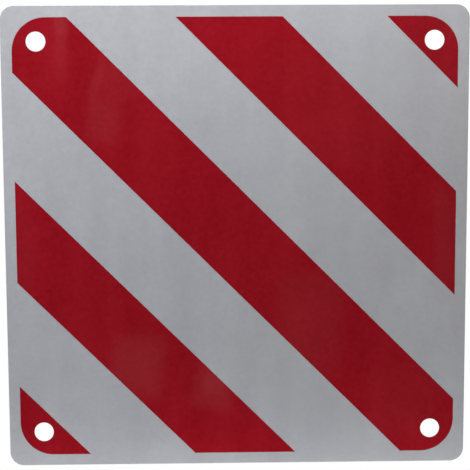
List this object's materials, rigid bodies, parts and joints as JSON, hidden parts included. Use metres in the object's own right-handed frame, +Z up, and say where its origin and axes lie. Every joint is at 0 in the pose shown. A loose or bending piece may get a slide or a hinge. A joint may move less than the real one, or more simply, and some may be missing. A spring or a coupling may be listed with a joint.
{
  "type": "rear warning sign",
  "caption": "Flat square sign for the rear of an overhanging load or rack: aluminium sheet faced with reflective film, slanted red stripes, and a plain fixing hole in each corner.",
  "frame": {"origin": "centre of the four corner holes, on the back face of the aluminium blank", "axes": "+X right as seen from the front, +Z up, +Y out of the back face; the striped front faces -Y"},
  "size_m": [0.5, 0.0013, 0.5],
  "materials": {
    "mill_aluminium": "bare mill-rolled sheet, faint rolling lines, sheared and punched edges",
    "silver_reflective_film": "silver-grey glass-bead reflective film under a clear glossy top layer",
    "red_reflective_layer": "translucent deep red layer on the reflective film, glossy"
  },
  "bodies": {
    "root": {"aluminium_blank": "mill_aluminium", "reflective_film": "silver_reflective_film", "red_stripe_centre": "red_reflective_layer", "red_stripe_upper": "red_reflective_layer", "red_stripe_lower": "red_reflective_layer", "red_patch_upper": "red_reflective_layer", "red_patch_lower": "red_reflective_layer"}
  },
  "joints": []
}
